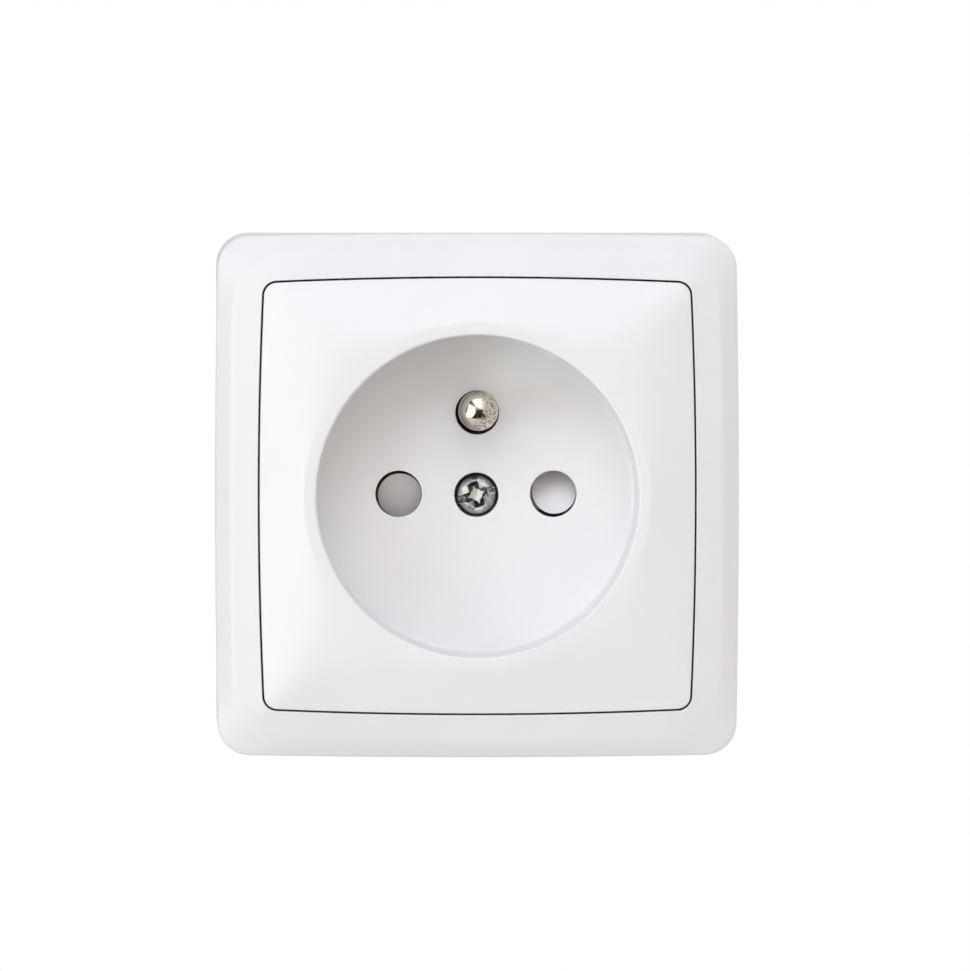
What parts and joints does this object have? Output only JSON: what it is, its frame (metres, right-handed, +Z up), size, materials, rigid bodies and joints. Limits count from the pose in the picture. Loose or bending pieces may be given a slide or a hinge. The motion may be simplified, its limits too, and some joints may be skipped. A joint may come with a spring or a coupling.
{
  "type": "surface-mounted socket",
  "caption": "Square surface-mounted white socket with a round plug recess, shuttered round pin apertures, a domed earth pin and a central cover screw.",
  "frame": {"origin": "centre of the face that lies against the wall", "axes": "+Y points into the wall, so the recess opens towards -Y; +Z is up with the earth pin above the centre; +X is to the right seen from the front"},
  "size_m": [0.0646, 0.041, 0.0646],
  "materials": {
    "housing_plastic": "smooth moulded white with a soft gloss",
    "cover_plastic": "smooth moulded white with a soft gloss",
    "base_plastic": "plain moulded white",
    "mechanism_plastic": "heat-resistant light grey moulding",
    "insulator_plastic": "plain off-white moulding",
    "shutter_plastic": "smooth off-white, low-friction",
    "pin_nickel": "polished nickel plate, warm and slightly pitted",
    "screw_steel": "worn grey plated steel",
    "zinc_steel": "bright zinc plate",
    "spring_steel": "drawn spring wire and strip",
    "contact_brass": "rolled strip, satin",
    "terminal_brass": "machined from bar, satin"
  },
  "bodies": {
    "socket_fixed": {"mounting_base": "base_plastic", "outer_housing": "housing_plastic", "centre_cover": "cover_plastic", "cover_screw": "screw_steel", "square_nut": "zinc_steel", "mechanism_body": "mechanism_plastic", "mechanism_screws": "zinc_steel", "contact_cover_plate": "insulator_plastic", "line_contact": "contact_brass", "neutral_contact": "contact_brass", "contact_springs": "spring_steel", "line_terminal": "terminal_brass", "neutral_terminal": "terminal_brass", "earth_terminal": "terminal_brass", "terminal_screws": "zinc_steel", "earth_pin": "pin_nickel", "earth_strap": "contact_brass", "shutter_spring": "spring_steel", "shutter_retainer": "insulator_plastic"},
    "shutter_rotor": {"shutter": "shutter_plastic"}
  },
  "joints": [
    {"name": "shutter_turn", "type": "hinge", "parent": "socket_fixed", "child": "shutter_rotor", "pos_m": [0, -0.0208, 0], "axis": [0, 1, 0], "range_deg": [0, 36], "stiffness_Nm_per_rad": 0.004, "springref_deg": -28.65, "deforming": ["shutter_spring"]}
  ]
}
